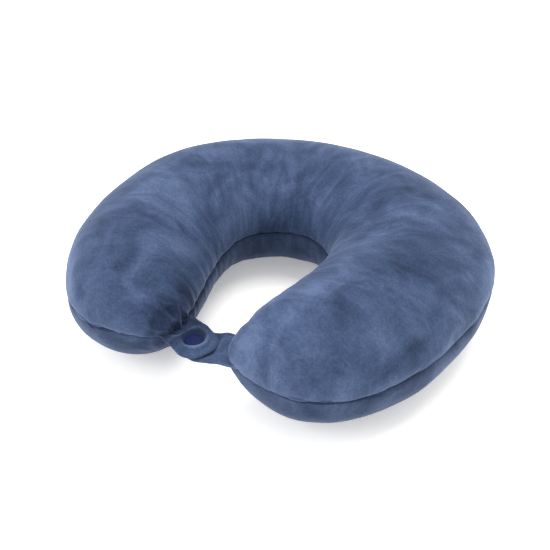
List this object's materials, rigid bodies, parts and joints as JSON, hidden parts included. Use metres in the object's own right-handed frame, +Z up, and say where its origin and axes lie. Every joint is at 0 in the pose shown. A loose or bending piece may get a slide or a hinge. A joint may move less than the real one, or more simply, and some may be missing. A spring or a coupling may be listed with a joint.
{
  "type": "u shaped neck pillow",
  "caption": "U-shaped travel neck pillow: foam core in a zipped velour cover, with two snap-fastened tabs across the front gap.",
  "frame": {"origin": "middle of the object's footprint at the height of its resting face", "axes": "+Z up through the pillow's thickness; the gap between the arms opens towards -Y; the wearer's right-hand arm is towards -X"},
  "size_m": [0.3, 0.2701, 0.09],
  "materials": {
    "velour": "short-pile plush velour with mottled nap",
    "memory_foam": "open-cell moulded foam, matte",
    "snap_plastic": "moulded, lightly glossy",
    "zip_tape": "woven tape",
    "zip_coil": "nylon monofilament coil",
    "zip_metal": "enamelled die-cast metal"
  },
  "bodies": {
    "root": {"foam_core": "memory_foam", "cover_top_panel": "velour", "cover_bottom_panel": "velour", "left_tab_root": "velour", "right_tab_root": "velour", "zip_upper_tape": "zip_tape", "zip_lower_tape": "zip_tape", "zip_upper_coil": "zip_coil", "zip_lower_coil": "zip_coil", "zip_top_stops": "zip_metal", "zip_bottom_stop": "zip_metal"},
    "left_tab": {"left_tab_upper_ply": "velour", "left_tab_lower_ply": "velour", "left_snap_cap": "snap_plastic", "left_snap_socket": "snap_plastic"},
    "right_tab": {"right_tab_upper_ply": "velour", "right_tab_lower_ply": "velour", "right_snap_stud": "snap_plastic", "right_snap_cap": "snap_plastic"},
    "slider": {"zip_slider": "zip_metal"},
    "pull": {"zip_pull": "zip_metal"}
  },
  "joints": [
    {"name": "left_tab_lift", "type": "hinge", "parent": "root", "child": "left_tab", "pos_m": [-0.015, -0.112, 0.043], "axis": [-0.4546, -0.8907, 0], "range_deg": [0, 80]},
    {"name": "right_tab_drop", "type": "hinge", "parent": "root", "child": "right_tab", "pos_m": [0.015, -0.112, 0.043], "axis": [0.2928, -0.9562, 0], "range_deg": [0, 75]},
    {"name": "zip_travel", "type": "hinge", "parent": "root", "child": "slider", "pos_m": [0, -0.04015, 0.043], "axis": [0, 0, 1], "range_deg": [0, 45]},
    {"name": "pull_swing", "type": "hinge", "parent": "slider", "child": "pull", "pos_m": [0.06775, 0.1231, 0.043], "axis": [0.9236, -0.3833, 0], "range_deg": [0, 170]}
  ]
}
